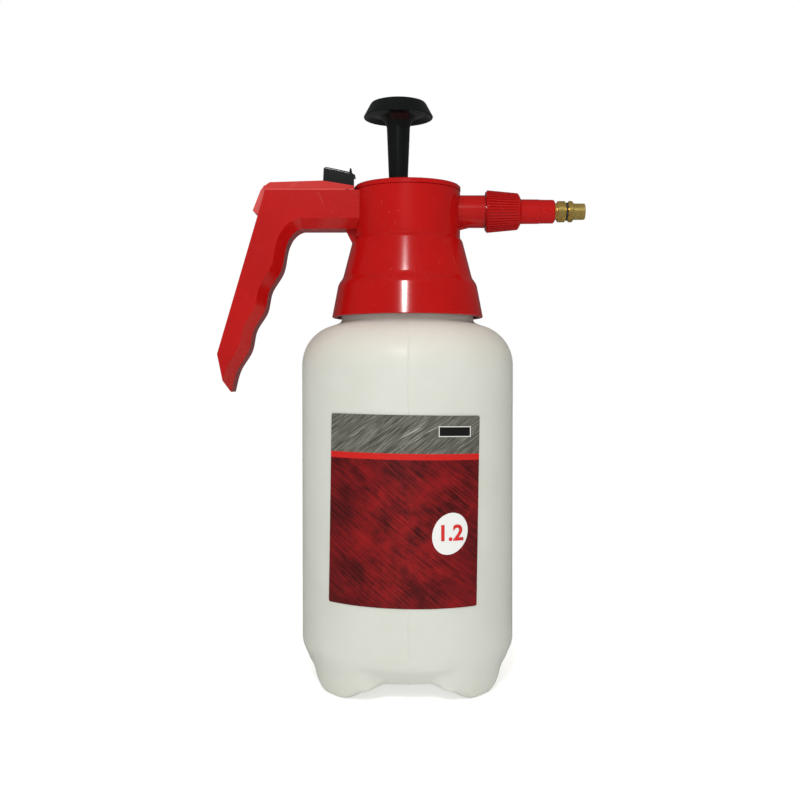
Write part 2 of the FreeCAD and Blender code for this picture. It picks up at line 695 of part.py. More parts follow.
def make_stem_gland():
    """The rubber ring that seals round the stem where it enters the valve."""
    left = valve_left()
    ring = rod_x(left + 0.1, left + 1.95, CHAMBER_R + 0.05, AXIS_Z)
    return ring.cut(rod_x(left - 1, left + 3, STEM_R + RUN, AXIS_Z))


def make_spring_seat():
    x1 = BOSS_END - 1.2
    seat = rod_x(x1 - 2.0, x1, 3.25, AXIS_Z)
    return seat.cut(rod_x(x1 - 3, x1 + 1, 1.4, AXIS_Z))


def make_valve_spring():
    """The coil between the stem's head and the spring seat."""
    x0 = valve_seat_x() + 3.2 + FIT
    x1 = BOSS_END - 1.2 - 2.0 - FIT
    length = x1 - x0 - 2 * SPRING_WIRE_R
    coil = Part.makeHelix(length / SPRING_TURNS, length, SPRING_R)
    profile = Part.Wire(Part.makeCircle(SPRING_WIRE_R, Vector(SPRING_R, 0, 0), Y_AXIS))
    wire = Part.Wire(coil.Edges).makePipeShell([profile], True, True)
    wire.rotate(Vector(0, 0, 0), Y_AXIS, 90)
    wire.translate(Vector(x0 + SPRING_WIRE_R, 0, AXIS_Z))
    return wire


# ---- dip tube ---------------------------------------------------------------------------------------------
def dip_path():
    """The tube's middle line, straight, bent once and straight again, and the way it points at its end."""
    top = Vector(dip_x(), 0, AXIS_Z - VALVE_R - 1.1)
    bend = Vector(dip_x(), 0, DIP_BEND_H)
    end = Vector(*DIP_END)
    down = (bend - top).normalize()
    away = (end - bend).normalize()
    half_turn = down.getAngle(away) / 2
    short = min((bend - top).Length, (end - bend).Length)
    cut = 0.45 * short
    radius = cut / math.tan(half_turn)
    a = bend - down * cut
    b = bend + away * cut
    to_centre = (away - down).normalize()
    centre = bend + to_centre * (radius / math.cos(half_turn))
    middle = centre - to_centre * radius
    return Part.Wire([Part.makeLine(top, a), Part.Arc(a, middle, b).toShape(), Part.makeLine(b, end)]), away


def pipe(path, r):
    start = path.Vertexes[0].Point
    ring = Part.Wire(Part.makeCircle(r, start, Vector(0, 0, -1)))
    return path.makePipeShell([ring], True, True)


def make_dip_tube():
    path, _ = dip_path()
    return pipe(path, DIP_R).cut(pipe(path, DIP_BORE))


def make_strainer():
    _, away = dip_path()
    end = Vector(*DIP_END)
    start = end - away * 5.0
    cup = Part.makeCylinder(STRAINER_R + 0.6, STRAINER_LEN, start, away)
    cup = cup.cut(Part.makeCylinder(DIP_R + FIT, 5.2, start - away * 0.2, away))
    cup = cup.cut(Part.makeCylinder(DIP_R - 0.6, STRAINER_LEN - 6.4, end, away))
    slots = []
    side = away.cross(Y_AXIS).normalize()
    for i in range(3):
        at = end + away * (1.6 + 2.2 * i)
        for turn in (0, 60, 120):
            slot = Part.makeCylinder(0.6, 12, at - side * 6, side)
            slot.rotate(at, away, turn)
            slots.append(slot)
    return cup.cut(slots)


# ---- pump -------------------------------------------------------------------------------------------------
def bolt_circle(radius, count):
    """The (x, y) places of count holes on a circle round the pump's axis."""
    turns = [2 * math.pi * i / count for i in range(count)]
    return [(PUMP_X + radius * math.cos(a), radius * math.sin(a)) for a in turns]


def make_barrel():
    floor = BARREL_FLOOR
    barrel = rod_z(floor - FLOOR_T, BARREL_TOP, BARREL_R, PUMP_X)
    seat = WEB_Z + WEB_T
    barrel = barrel.fuse(rod_z(seat, seat + FLANGE_T, BARREL_R + FLANGE_W, PUMP_X))
    ports = [rod_z(floor - FLOOR_T - 1, floor + 1, PORT_R, x, y) for x, y in bolt_circle(5.2, 6)]
    stem_hole = rod_z(floor - FLOOR_T - 1, floor + 1, UMBRELLA_STEM_R + 0.1, PUMP_X)
    return barrel.cut([rod_z(floor, BARREL_TOP + 1, BARREL_BORE, PUMP_X), stem_hole] + ports)


def make_barrel_ring():
    """The rubber ring that seals the barrel in the web."""
    thick = BARREL_RING / 2
    centre = Vector(PUMP_X, 0, WEB_Z + WEB_T - thick - FIT)
    return Part.makeTorus(BARREL_R + FIT + thick, thick, centre, Z_AXIS)


def make_check_valve():
    """A rubber umbrella under the barrel's floor, held by a barbed stem through it."""
    z = BARREL_FLOOR - FLOOR_T
    touch = 0.02
    disc = revolve_z([
        (0, z - 1.4), (3.0, z - 1.4), (UMBRELLA_R, z - 0.5), (UMBRELLA_R, z - touch), (0, z - touch),
    ], PUMP_X)
    stem = rod_z(z - 0.1, BARREL_FLOOR + 0.1, UMBRELLA_STEM_R, PUMP_X)
    barb_low = BARREL_FLOOR + touch
    barb = revolve_z([(0, barb_low), (2.3, barb_low), (0.9, barb_low + 1.18), (0, barb_low + 1.18)], PUMP_X)
    return disc.fuse([stem, barb])


def make_valve_cage():
    """The cup pushed over the barrel's end, which keeps the umbrella clear of the liquid's swirl."""
    z = BARREL_FLOOR
    cage = rod_z(z - 8.0, z + 5.0, BARREL_R + CAGE_WALL, PUMP_X)
    cage = cage.cut(rod_z(z - 6.5, z + 6.0, BARREL_R + FIT, PUMP_X))
    stop = rod_z(z - 6.6, z - FLOOR_T - FIT, BARREL_R + 0.2, PUMP_X)
    stop = stop.cut(rod_z(z - 7, z, BARREL_R - 2.5, PUMP_X))
    cage = cage.fuse(stop)
    return cage.cut([rod_z(z - 9, z - 6, 2.2, x, y) for x, y in bolt_circle(7.0, 6)])


def make_pump_cap():
    hole = ROD_TOP_R + 0.25
    lip = revolve_z([(0, RIM_Z), (CAP_R, RIM_Z), (CAP_R, CAP_Z - 0.6), (CAP_R - 0.6, CAP_Z), (0, CAP_Z)])
    skirt = rod_z(RIM_Z - 3.0, RIM_Z, HEAD_BORE - FIT).cut(rod_z(RIM_Z - 5, RIM_Z, HEAD_BORE - 2.0))
    stop = rod_z(BARREL_TOP, RIM_Z, BARREL_R, PUMP_X)
    spigot = rod_z(BARREL_TOP - 0.01, RIM_Z, BARREL_BORE - FIT, PUMP_X)
    cap = lip.fuse([skirt, stop, spigot])
    flare_low = CAP_Z - 3.6
    flare_top = CAP_Z + 0.1
    flare = revolve_z([(0, flare_low), (hole, flare_low), (hole + 1.3, flare_top), (0, flare_top)], PUMP_X)
    return cap.cut([rod_z(BARREL_TOP - 2, CAP_Z + 1, hole, PUMP_X), flare])


def make_plunger():
    knob_low = CAP_Z + KNOB_GAP
    knob_top = knob_low + KNOB_H
    flare_low = knob_low - 4.5
    narrow = CAP_Z + 3.4
    end = PISTON_BOTTOM + 3.0
    return revolve_z([
        (0, end), (PLUNGER_END_R, end), (PLUNGER_END_R, PISTON_TOP), (ROD_R, PISTON_TOP), (ROD_R, narrow),
        (ROD_TOP_R, flare_low), (ROD_TOP_R + 0.9, flare_low + 2.6), (ROD_TOP_R + 3.4, knob_low + 0.6),
        (ROD_TOP_R + 7.8, knob_low + 1.3), (KNOB_R - 0.9, knob_low), (KNOB_R - 0.2, knob_low),
        (KNOB_R, knob_low + 0.5), (KNOB_TOP_R + 0.5, knob_top - 1.0),
        (KNOB_TOP_R - 0.1, knob_top - 0.3), (KNOB_TOP_R - 1.0, knob_top), (0, knob_top),
    ], PUMP_X)


def make_piston():
    low = PISTON_BOTTOM
    seal_low = low + 5.2
    body = rod_z(low, PISTON_TOP - 0.02, BARREL_BORE - 0.4, PUMP_X)
    groove = rod_z(seal_low, seal_low + SEAL_H + 0.2, BARREL_BORE, PUMP_X)
    groove = groove.cut(rod_z(low + 5, low + 9, BARREL_BORE - SEAL_DEPTH - FIT, PUMP_X))
    bore = rod_z(low + 3.0 - 0.02, PISTON_TOP + 1, PLUNGER_END_R + 0.02, PUMP_X)
    return body.cut([groove, bore])


def make_piston_seal():
    low = PISTON_BOTTOM + 5.3
    inner = BARREL_BORE - SEAL_DEPTH
    outer = BARREL_BORE - RUN
    lip = outer - 0.7
    top = low + SEAL_H
    return revolve_z([
        (inner, low), (lip, low), (outer, low + 1.0), (outer, top - 1.0), (lip, top), (inner, top),
    ], PUMP_X)


def make_gasket():
    return rod_z(MOUTH_Z, WEB_Z, THREAD_ROOT_R).cut(rod_z(MOUTH_Z - 1, WEB_Z + 1, NECK_BORE))


# ---- nut and nozzle ---------------------------------------------------------------------------------------
def flange_x():
    """Where the nozzle tube's flange starts, on the seal at the end of the boss."""
    return BOSS_END + BOSS_THREAD_LEN + SEAL_T


def make_nozzle_seal():
    x = flange_x() - SEAL_T
    return rod_x(x, x + SEAL_T, BOSS_THREAD_R - 0.1, AXIS_Z).cut(rod_x(x - 1, x + 2, 2.8, AXIS_Z))


def nut_start():
    return BOSS_END + 0.5


def make_nut():
    x0 = nut_start()
    x1 = x0 + NUT_LEN
    z = AXIS_Z
    root = NUT_RIB_H
    nut = revolve_x([
        (x0, 0), (x0, NUT_R - root - 0.4), (x0 + 0.6, NUT_R - root), (x1, NUT_TOP_R - root),
        (x1 + 1.2, NOZZLE_R + 0.1), (x1 + 1.2, 0),
    ], z)
    rib = slab_y([
        (x0 + 0.8, z + 5), (x0 + 0.8, z + NUT_R), (x1 - 0.5, z + NUT_TOP_R), (x1 - 0.5, z + 5),
    ], NUT_RIB_T / 2)
    nut = nut.fuse(turned_x(rib, NUT_RIBS))
    wide = rod_x(x0 - 1, flange_x() + FLANGE_X_T + FIT, BOSS_THREAD_R + RUN, z)
    narrow = rod_x(x0 - 1, x1 + 3, NOZZLE_R + RUN, z)
    return nut.cut([wide, narrow])


def make_nozzle_tube():
    x0 = flange_x()
    flange_end = x0 + FLANGE_X_T
    step = nut_start() + NUT_LEN + 10.2
    z = AXIS_Z
    tube = revolve_x([
        (x0, 0), (x0, BOSS_THREAD_R - 0.1), (flange_end, BOSS_THREAD_R - 0.1), (flange_end, NOZZLE_R),
        (step, NOZZLE_R - 0.12), (step + 0.3, NOZZLE_R - 0.25), (NOZZLE_END - 0.7, NOZZLE_TOP_R),
        (NOZZLE_END, NOZZLE_TOP_R - 0.7), (NOZZLE_END, 0),
    ], z)
    bore = rod_x(x0 - 1, NOZZLE_END + 1, NOZZLE_BORE, z)
    socket = rod_x(NOZZLE_END - SPIGOT_LEN - 0.1, NOZZLE_END + 1, SPIGOT_R + FIT, z)
    return tube.cut([bore, socket])


def knurled(x0, x1, r, z, chamfer):
    """A brass ring with fine straight knurling."""
    root = r - KNURL_H
    ring = revolve_x([
        (x0, 0), (x0, root - chamfer), (x0 + chamfer, root), (x1 - chamfer, root), (x1, root - chamfer),
        (x1, 0),
    ], z)
    start = x0 + chamfer + 0.1
    end = x1 - chamfer - 0.1
    tooth = slab_y([(start, z + 3), (start, z + r), (end, z + r), (end, z + 3)], KNURL_T / 2)
    return ring.fuse(turned_x(tooth, KNURLS))


def ring_start():
    return NOZZLE_END + 1.2


def tip_start():
    return ring_start() + RING_LEN + RING_GAP


def tip_end():
    return tip_start() + TIP_RING_LEN + TIP_LEN


def nose_end():
    """Where the brass nose ends inside the tip."""
    return tip_start() + TIP_RING_LEN + 2.2


def make_nozzle_base():
    x = ring_start()
    z = AXIS_Z
    base = rod_x(NOZZLE_END - SPIGOT_LEN, NOZZLE_END, SPIGOT_R, z).fuse([
        rod_x(NOZZLE_END, x + 1, BRASS_NECK_R, z),
        knurled(x, x + RING_LEN, RING_R, z, 0.35),
        rod_x(x + RING_LEN - 1, nose_end(), NOSE_R, z),
    ])
    return base.cut(rod_x(NOZZLE_END - SPIGOT_LEN - 1, nose_end() + 1, NOSE_BORE, z))


def make_tip_ring():
    """The rubber ring in the gap between the two brass rings."""
    middle = ring_start() + RING_LEN + RING_GAP / 2
    thick = RING_GAP * 0.9
    return ring_x(middle, NOSE_R + RUN + 1.0, thick, AXIS_Z)


def make_nozzle_tip():
    x = tip_start()
    z = AXIS_Z
    end = tip_end()
    tip = knurled(x, x + TIP_RING_LEN, RING_R, z, 0.45)
    spout = revolve_x([
        (x + 1, 0), (x + 1, TIP_R), (end - 0.3, TIP_R), (end, TIP_R - 0.3), (end, 1.4), (end - 0.5, 1.0),
        (end - 0.5, 0),
    ], z)
    bore = rod_x(x - 1, end - 1.4, NOSE_R + RUN, z)
    return tip.fuse(spout).cut([bore, rod_x(x, end + 1, ORIFICE_R, z)])


def make_swirl_core():
    """The small disc behind the orifice whose slots make the liquid spin."""
    x1 = tip_end() - 1.45
    core = rod_x(x1 - 1.7, x1, NOSE_R, AXIS_Z)
    slots = []
    for i in range(3):
        slot = block(x1 - 3, x1 + 1, 1.5, 4.0, AXIS_Z - 0.4, AXIS_Z + 0.4)
        slot.rotate(Vector(0, 0, AXIS_Z), X_AXIS, 120 * i)
        slots.append(slot)
    return core.cut(slots)


# ---- build ------------------------------------------------------------------------------------------------
PARTS = {
    "bottle": make_bottle,
    "label": make_label,
    "neck_gasket": make_gasket,
    "head_body": make_head,
    "bridge_cover": make_cover,
    "trigger": make_trigger,
    "trigger_pin": make_trigger_pin,
    "push_fork": make_push_fork,
    "valve_body": make_valve_body,
    "valve_stem": make_valve_stem,
    "stem_gland": make_stem_gland,
    "spring_seat": make_spring_seat,
    "valve_spring": make_valve_spring,
    "dip_tube": make_dip_tube,
    "strainer": make_strainer,
    "pump_barrel": make_barrel,
    "barrel_ring": make_barrel_ring,
    "check_valve": make_check_valve,
    "check_valve_cage": make_valve_cage,
    "pump_cap": make_pump_cap,
    "plunger": make_plunger,
    "piston": make_piston,
    "piston_seal": make_piston_seal,
    "nozzle_seal": make_nozzle_seal,
    "nozzle_nut": make_nut,
    "nozzle_tube": make_nozzle_tube,
    "nozzle_base": make_nozzle_base,
    "tip_ring": make_tip_ring,
    "nozzle_tip": make_nozzle_tip,
    "swirl_core": make_swirl_core,
}

os.makedirs("parts", exist_ok=True)
for node, make in PARTS.items():
    save(make(), node)
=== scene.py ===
"""Looks of a hand pump sprayer: finishes, printed label and the small marks of use, round the fixed frame.

Metres, in the frame's axes: +Z up, +X out of the nozzle, -Y towards the label.
"""
import json
import math

import bmesh
import bpy
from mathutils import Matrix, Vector


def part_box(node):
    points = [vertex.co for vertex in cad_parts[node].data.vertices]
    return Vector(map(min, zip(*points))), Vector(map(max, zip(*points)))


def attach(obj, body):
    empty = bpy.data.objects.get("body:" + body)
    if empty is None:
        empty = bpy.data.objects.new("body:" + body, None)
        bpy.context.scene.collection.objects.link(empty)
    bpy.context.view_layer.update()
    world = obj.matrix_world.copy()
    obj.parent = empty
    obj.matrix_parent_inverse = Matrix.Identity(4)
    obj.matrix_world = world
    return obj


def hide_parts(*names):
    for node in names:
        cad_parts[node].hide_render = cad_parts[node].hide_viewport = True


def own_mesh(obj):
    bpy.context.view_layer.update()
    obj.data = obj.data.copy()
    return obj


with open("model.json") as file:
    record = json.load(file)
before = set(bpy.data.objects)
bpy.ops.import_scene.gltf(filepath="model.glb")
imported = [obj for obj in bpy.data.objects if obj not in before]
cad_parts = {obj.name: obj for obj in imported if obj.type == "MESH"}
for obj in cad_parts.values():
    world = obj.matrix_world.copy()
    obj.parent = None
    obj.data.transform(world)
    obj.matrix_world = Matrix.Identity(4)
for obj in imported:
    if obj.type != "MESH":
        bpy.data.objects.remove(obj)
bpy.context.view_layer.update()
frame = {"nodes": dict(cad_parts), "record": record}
MM = 0.001


def deselect():
    bpy.ops.object.select_all(action="DESELECT")


# ---- node helpers -----------------------------------------------------------------------------------------
def new_group(name, inputs, outputs):
    """A shader node group with float or colour sockets."""
    tree = bpy.data.node_groups.new(name, "ShaderNodeTree")
    for label, kind, value in inputs:
        socket = tree.interface.new_socket(label, in_out="INPUT", socket_type=kind)
        socket.default_value = value
    for label, kind in outputs:
        tree.interface.new_socket(label, in_out="OUTPUT", socket_type=kind)
    enter = tree.nodes.new("NodeGroupInput")
    leave = tree.nodes.new("NodeGroupOutput")
    return tree, enter, leave


def coordinates(tree, scale=(1, 1, 1), turn=(0, 0, 0), move=(0, 0, 0)):
    """Object coordinates through a mapping."""
    place = tree.nodes.new("ShaderNodeTexCoord")
    mapping = tree.nodes.new("ShaderNodeMapping")
    mapping.inputs["Scale"].default_value = scale
    mapping.inputs["Rotation"].default_value = turn
    mapping.inputs["Location"].default_value = move
    tree.links.new(place.outputs["Object"], mapping.inputs["Vector"])
    return mapping.outputs["Vector"]


def stretched(tree, vector, scale):
    """The vector, already turned, scaled by its own amount along each axis."""
    mapping = tree.nodes.new("ShaderNodeMapping")
    mapping.inputs["Scale"].default_value = scale
    tree.links.new(vector, mapping.inputs["Vector"])
    return mapping.outputs["Vector"]


def noise(tree, vector, scale, detail=4.0, rough=0.5, distortion=0.0):
    node = tree.nodes.new("ShaderNodeTexNoise")
    node.inputs["Scale"].default_value = scale
    node.inputs["Detail"].default_value = detail
    node.inputs["Roughness"].default_value = rough
    node.inputs["Distortion"].default_value = distortion
    tree.links.new(vector, node.inputs["Vector"])
    return node.outputs["Fac"]


def math_node(tree, kind, a, b=None, clamp=False):
    """A Math node. Each of a and b is a socket or a number."""
    node = tree.nodes.new("ShaderNodeMath")
    node.operation = kind
    node.use_clamp = clamp
    for i, value in enumerate((a, b)):
        if value is None:
            continue
        if isinstance(value, (int, float)):
            node.inputs[i].default_value = value
        else:
            tree.links.new(value, node.inputs[i])
    return node.outputs[0]


def plus(tree, a, b, clamp=False):
    return math_node(tree, "ADD", a, b, clamp=clamp)


def minus(tree, a, b):
    return math_node(tree, "SUBTRACT", a, b)


def times(tree, a, b, clamp=False):
    return math_node(tree, "MULTIPLY", a, b, clamp=clamp)


def spread(tree, value, low, high, to_low=0.0, to_high=1.0):
    """The value's range from low to high, spread smoothly from to_low to to_high."""
    node = tree.nodes.new("ShaderNodeMapRange")
    node.interpolation_type = "SMOOTHSTEP"
    for label, number in (("From Min", low), ("From Max", high), ("To Min", to_low), ("To Max", to_high)):
        node.inputs[label].default_value = number
    tree.links.new(value, node.inputs["Value"])
    return node.outputs["Result"]


def mix(tree, factor, a, b):
    """Two colours mixed by a socket's value. Each is a socket or an (r, g, b)."""
    node = tree.nodes.new("ShaderNodeMix")
    node.data_type = "RGBA"
    sockets = [s for s in node.inputs if s.type == "RGBA"]
    tree.links.new(factor, node.inputs[0])
    for socket, value in zip(sockets, (a, b)):
        if isinstance(value, (tuple, list)):
            socket.default_value = (*value, 1.0)
        else:
            tree.links.new(value, socket)
    return next(s for s in node.outputs if s.type == "RGBA")


def feed(tree, value, shader, label):
    """The value linked to one of the shader's sockets."""
    tree.links.new(value, shader.inputs[label])


def axis_value(tree, vector, axis):
    node = tree.nodes.new("ShaderNodeSeparateXYZ")
    tree.links.new(vector, node.inputs[0])
    return node.outputs["XYZ".index(axis)]


# ---- shared effects ---------------------------------------------------------------------------------------
SCRATCH_TURNS = ((0.35, 0.2), (1.25, -0.5), (2.2, 0.9), (2.9, -1.1), (0.8, 1.5))


def scratch_group():
    """Fine straight scratches in several directions, each a thin band of a stretched noise."""
    tree, enter, leave = new_group(
        "scratches",
        [("Density", "NodeSocketFloat", 0.5)],
        [("Mask", "NodeSocketFloat")])
    total = None
    for i, (turn, lean) in enumerate(SCRATCH_TURNS):
        vector = coordinates(tree, (1, 1, 1), (lean, turn, 0.4 * i), (0.37 * i, 0.11 * i, 0.53 * i))
        field = noise(tree, stretched(tree, vector, (55, 2300, 2300)), 1.0, 1.0, 0.4, 0.15)
        line = spread(tree, field, 0.71, 0.80)
        patch = spread(tree, noise(tree, vector, 38.0, 2.0), 0.55, 0.72)
        line = times(tree, line, patch)
        total = line if total is None else math_node(tree, "MAXIMUM", total, line)
    masked = times(tree, total, enter.outputs["Density"], clamp=True)
    tree.links.new(masked, leave.inputs["Mask"])
    return tree


def moulding_group():
    """The soft waviness and fine grain of a moulded plastic face, and a slow change of its shade."""
    tree, enter, leave = new_group(
        "moulding",
        [("Wave", "NodeSocketFloat", 0.5), ("Grain", "NodeSocketFloat", 0.5)],
        [("Height", "NodeSocketFloat"), ("Shade", "NodeSocketFloat")])
    place = coordinates(tree)
    wave = noise(tree, place, 60.0, 2.0, 0.5, 0.4)
    grain = noise(tree, place, 2600.0, 2.0, 0.6)
    waves = times(tree, wave, enter.outputs["Wave"])
    height = plus(tree, waves, times(tree, grain, enter.outputs["Grain"]))
    tree.links.new(height, leave.inputs["Height"])
    tree.links.new(spread(tree, noise(tree, place, 28.0, 5.0, 0.6), 0.3, 0.7), leave.inputs["Shade"])
    return tree


def handling_group():
    """Small pale specks and smudges of handling."""
    tree, enter, leave = new_group(
        "handling",
        [("Amount", "NodeSocketFloat", 0.5)],
        [("Mask", "NodeSocketFloat")])
    place = coordinates(tree)
    specks = spread(tree, noise(tree, place, 1500.0, 1.0, 0.5), 0.76, 0.80)
    smudge = spread(tree, noise(tree, place, 90.0, 6.0, 0.65, 0.8), 0.55, 0.8)
    marks = plus(tree, specks, times(tree, smudge, 0.5))
    masked = times(tree, marks, enter.outputs["Amount"], clamp=True)
    tree.links.new(masked, leave.inputs["Mask"])
    return tree


SCRATCHES = scratch_group()
MOULDING = moulding_group()
HANDLING = handling_group()


def effect(tree, group, **values):
    node = tree.nodes.new("ShaderNodeGroup")
    node.node_tree = group
    for label, value in values.items():
        node.inputs[label].default_value = value
    return node


def start_material(name, **constants):
    """A material with its Principled shader, whose constant values are set on its own sockets."""
    material = bpy.data.materials.new(name)
    material.use_nodes = True
    tree = material.node_tree
    shader = tree.nodes["Principled BSDF"]
    for label, value in constants.items():
        shader.inputs[label.replace("_", " ")].default_value = value
    return material, tree, shader


def bump(tree, shader, height, strength, distance):
    node = tree.nodes.new("ShaderNodeBump")
    node.inputs["Strength"].default_value = strength
    node.inputs["Distance"].default_value = distance
    tree.links.new(height, node.inputs["Height"])
    tree.links.new(node.outputs["Normal"], shader.inputs["Normal"])


# ---- finishes ---------------------------------------------------------------------------------------------
def plastic(name, colour, dark, rough, wear, scratch, scuff=(0.85, 0.45, 0.42), **constants):
    """Moulded plastic: two close shades, faint flow, grain, and scratches paler than the plastic."""
    material, tree, shader = start_material(name, **constants)
    mould = effect(tree, MOULDING, Wave=0.6, Grain=0.1)
    lines = effect(tree, SCRATCHES, Density=scratch).outputs["Mask"]
    marks = effect(tree, HANDLING, Amount=wear).outputs["Mask"]
    base = mix(tree, mould.outputs["Shade"], dark, colour)
    base = mix(tree, times(tree, lines, 0.55), base, scuff)
    base = mix(tree, times(tree, marks, 0.35), base, scuff)
    feed(tree, base, shader, "Base Color")
    gloss = plus(tree, rough, times(tree, lines, 0.25))
    gloss = plus(tree, gloss, times(tree, marks, 0.18), clamp=True)
    feed(tree, gloss, shader, "Roughness")
    height = minus(tree, mould.outputs["Height"], times(tree, lines, 0.15))
    bump(tree, shader, height, 0.05, 0.4 * MM)
    return material


def milky_material():
    """Natural polyethylene: milky, a little warmer at its feet, with a painted pink glow of the red collar's
    light towards its top.
    """
    material, tree, shader = start_material(
        "milky_polyethylene", Specular_IOR_Level=0.35,
        Subsurface_Weight=0.35, Subsurface_Radius=(0.9, 0.85, 0.7), Subsurface_Scale=0.006)
    place = coordinates(tree)
    height_z = axis_value(tree, place, "Z")
    mould = effect(tree, MOULDING, Wave=0.8, Grain=0.25)
    base = mix(tree, mould.outputs["Shade"], (0.486, 0.497, 0.447), (0.512, 0.527, 0.483))
    # Painted pink glow: the red collar's light painted into the colour, rising from 150 mm to 182 mm.
    painted_red_glow = spread(tree, height_z, 150 * MM, 182 * MM, 0.0, 0.35)
    base = mix(tree, painted_red_glow, base, (0.64, 0.49, 0.435))
    near_foot = spread(tree, height_z, 0.0, 30 * MM, 0.25, 0.0)
    base = mix(tree, near_foot, base, (0.545, 0.54, 0.475))
    marks = effect(tree, HANDLING, Amount=0.5)
    base = mix(tree, times(tree, marks.outputs["Mask"], 0.12), base, (0.58, 0.56, 0.50))
    feed(tree, base, shader, "Base Color")
    lines = effect(tree, SCRATCHES, Density=0.5)
    gloss = plus(tree, 0.36, times(tree, mould.outputs["Shade"], 0.08))
    gloss = plus(tree, gloss, times(tree, lines.outputs["Mask"], 0.12))
    feed(tree, gloss, shader, "Roughness")
    bump(tree, shader, mould.outputs["Height"], 0.12, 0.4 * MM)
    return material


def brass_material():
    """Turned brass: fine rings across the axis, and a slow olive stain."""
    material, tree, shader = start_material("turned_brass", Metallic=0.85)
    place = coordinates(tree)
    turned = noise(tree, coordinates(tree, (9000, 60, 60)), 1.0, 2.0)
    stain = spread(tree, noise(tree, place, 260.0, 4.0, 0.5, 0.3), 0.3, 0.75)
    feed(tree, mix(tree, stain, (0.84, 0.62, 0.19), (0.62, 0.45, 0.13)), shader, "Base Color")
    feed(tree, plus(tree, 0.22, times(tree, stain, 0.1)), shader, "Roughness")
    bump(tree, shader, turned, 0.015, 0.05 * MM)
    return material


def rubber_material():
    material, tree, shader = start_material("black_rubber", Specular_IOR_Level=0.3)
    mould = effect(tree, MOULDING, Wave=0.2, Grain=0.6)
    base = mix(tree, mould.outputs["Shade"], (0.012, 0.012, 0.013), (0.03, 0.03, 0.032))
    feed(tree, base, shader, "Base Color")
    feed(tree, plus(tree, 0.5, times(tree, mould.outputs["Shade"], 0.15)), shader, "Roughness")
    bump(tree, shader, mould.outputs["Height"], 0.15, 0.2 * MM)
    return material


def steel_material():
    material, tree, shader = start_material("bright_steel", Metallic=1.0)
    stain = spread(tree, noise(tree, coordinates(tree), 700.0, 4.0), 0.3, 0.7)
    feed(tree, mix(tree, stain, (0.62, 0.62, 0.63), (0.5, 0.5, 0.5)), shader, "Base Color")
    feed(tree, plus(tree, 0.22, times(tree, stain, 0.15)), shader, "Roughness")
    return material


# ---- label ------------------------------------------------------------------------------------------------
LABEL_TILT = math.radians(0.95)
LABEL_W = 68.0 * MM
LABEL_H = 87.0 * MM
BAND_FROM = 26.2 * MM
STRIPE_FROM = 23.4 * MM
PLATE_AT = (23.0 * MM, 36.3 * MM)
PLATE_HALF = (7.4 * MM, 2.4 * MM)
PLATE_RIM = 0.38 * MM
OVAL_AT = (20.8 * MM, -9.8 * MM)
OVAL_HALF = (7.9 * MM, 9.7 * MM)
OVAL_LEAN = math.radians(22)


def brushed(tree, turn, along, across, shift):
    """A noise drawn out into lines in the label's plane, turn radians up from the horizontal."""
    turned = coordinates(tree, (1, 1, 1), (0, turn, 0), (shift, 0, 2 * shift))
    return noise(tree, stretched(tree, turned, (along, 0, across)), 1.0, 3.0, 0.6, 0.1)


def within(tree, value, half):
    """1 where the value lies within half of zero."""
    return math_node(tree, "LESS_THAN", math_node(tree, "ABSOLUTE", value), half)


def label_axes(tree):
    """Places on the label in metres from its centre, to the right and up, along its crooked sides."""
    low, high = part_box("label")
    place = coordinates(tree)
    right = minus(tree, axis_value(tree, place, "X"), (low.x + high.x) / 2)
    up = minus(tree, axis_value(tree, place, "Z"), (low.z + high.z) / 2)
    up = plus(tree, up, times(tree, right, math.tan(LABEL_TILT)))
    return right, up


def oval_mask(tree, right, up):
    """1 inside the white oval, which leans to the right."""
    from_x = minus(tree, right, OVAL_AT[0])
    from_z = minus(tree, up, OVAL_AT[1])
    cos, sin = math.cos(OVAL_LEAN), math.sin(OVAL_LEAN)
    across = minus(tree, times(tree, from_x, cos), times(tree, from_z, sin))
    along = plus(tree, times(tree, from_x, sin), times(tree, from_z, cos))
    across = math_node(tree, "POWER", math_node(tree, "DIVIDE", across, OVAL_HALF[0]), 2.0)
    along = math_node(tree, "POWER", math_node(tree, "DIVIDE", along, OVAL_HALF[1]), 2.0)
    return math_node(tree, "LESS_THAN", plus(tree, across, along), 1.0)


def plate_masks(tree, right, up):
    """1 inside the plain plate, with and without its rim."""
    plate_x = minus(tree, right, PLATE_AT[0])
    plate_z = minus(tree, up, PLATE_AT[1])
    masks = []
    for rim in (0.0, PLATE_RIM):
        wide = within(tree, plate_x, PLATE_HALF[0] - rim)
        masks.append(times(tree, wide, within(tree, plate_z, PLATE_HALF[1] - rim)))
    return masks


def label_metal(tree, cloud):
    """The grey band: brushed and scratched metal."""
    lines = plus(tree, brushed(tree, 0.62, 60, 1500, 0.0), brushed(tree, 0.75, 90, 2400, 0.3))
    lines = times(tree, lines, 0.5)
    rising = spread(tree, brushed(tree, 0.5, 45, 1500, 0.7), 0.60, 0.74)
    falling = spread(tree, brushed(tree, -0.9, 60, 1800, 1.1), 0.66, 0.78)
    sparks = math_node(tree, "MAXIMUM", rising, falling)
    metal = mix(tree, spread(tree, lines, 0.40, 0.62), (0.040, 0.040, 0.033), (0.165, 0.165, 0.138))
    metal = mix(tree, times(tree, sparks, 0.85), metal, (0.50, 0.50, 0.45))
    return mix(tree, spread(tree, cloud, 0.45, 0.75, 0.0, 0.65), metal, (0.028, 0.028, 0.024))


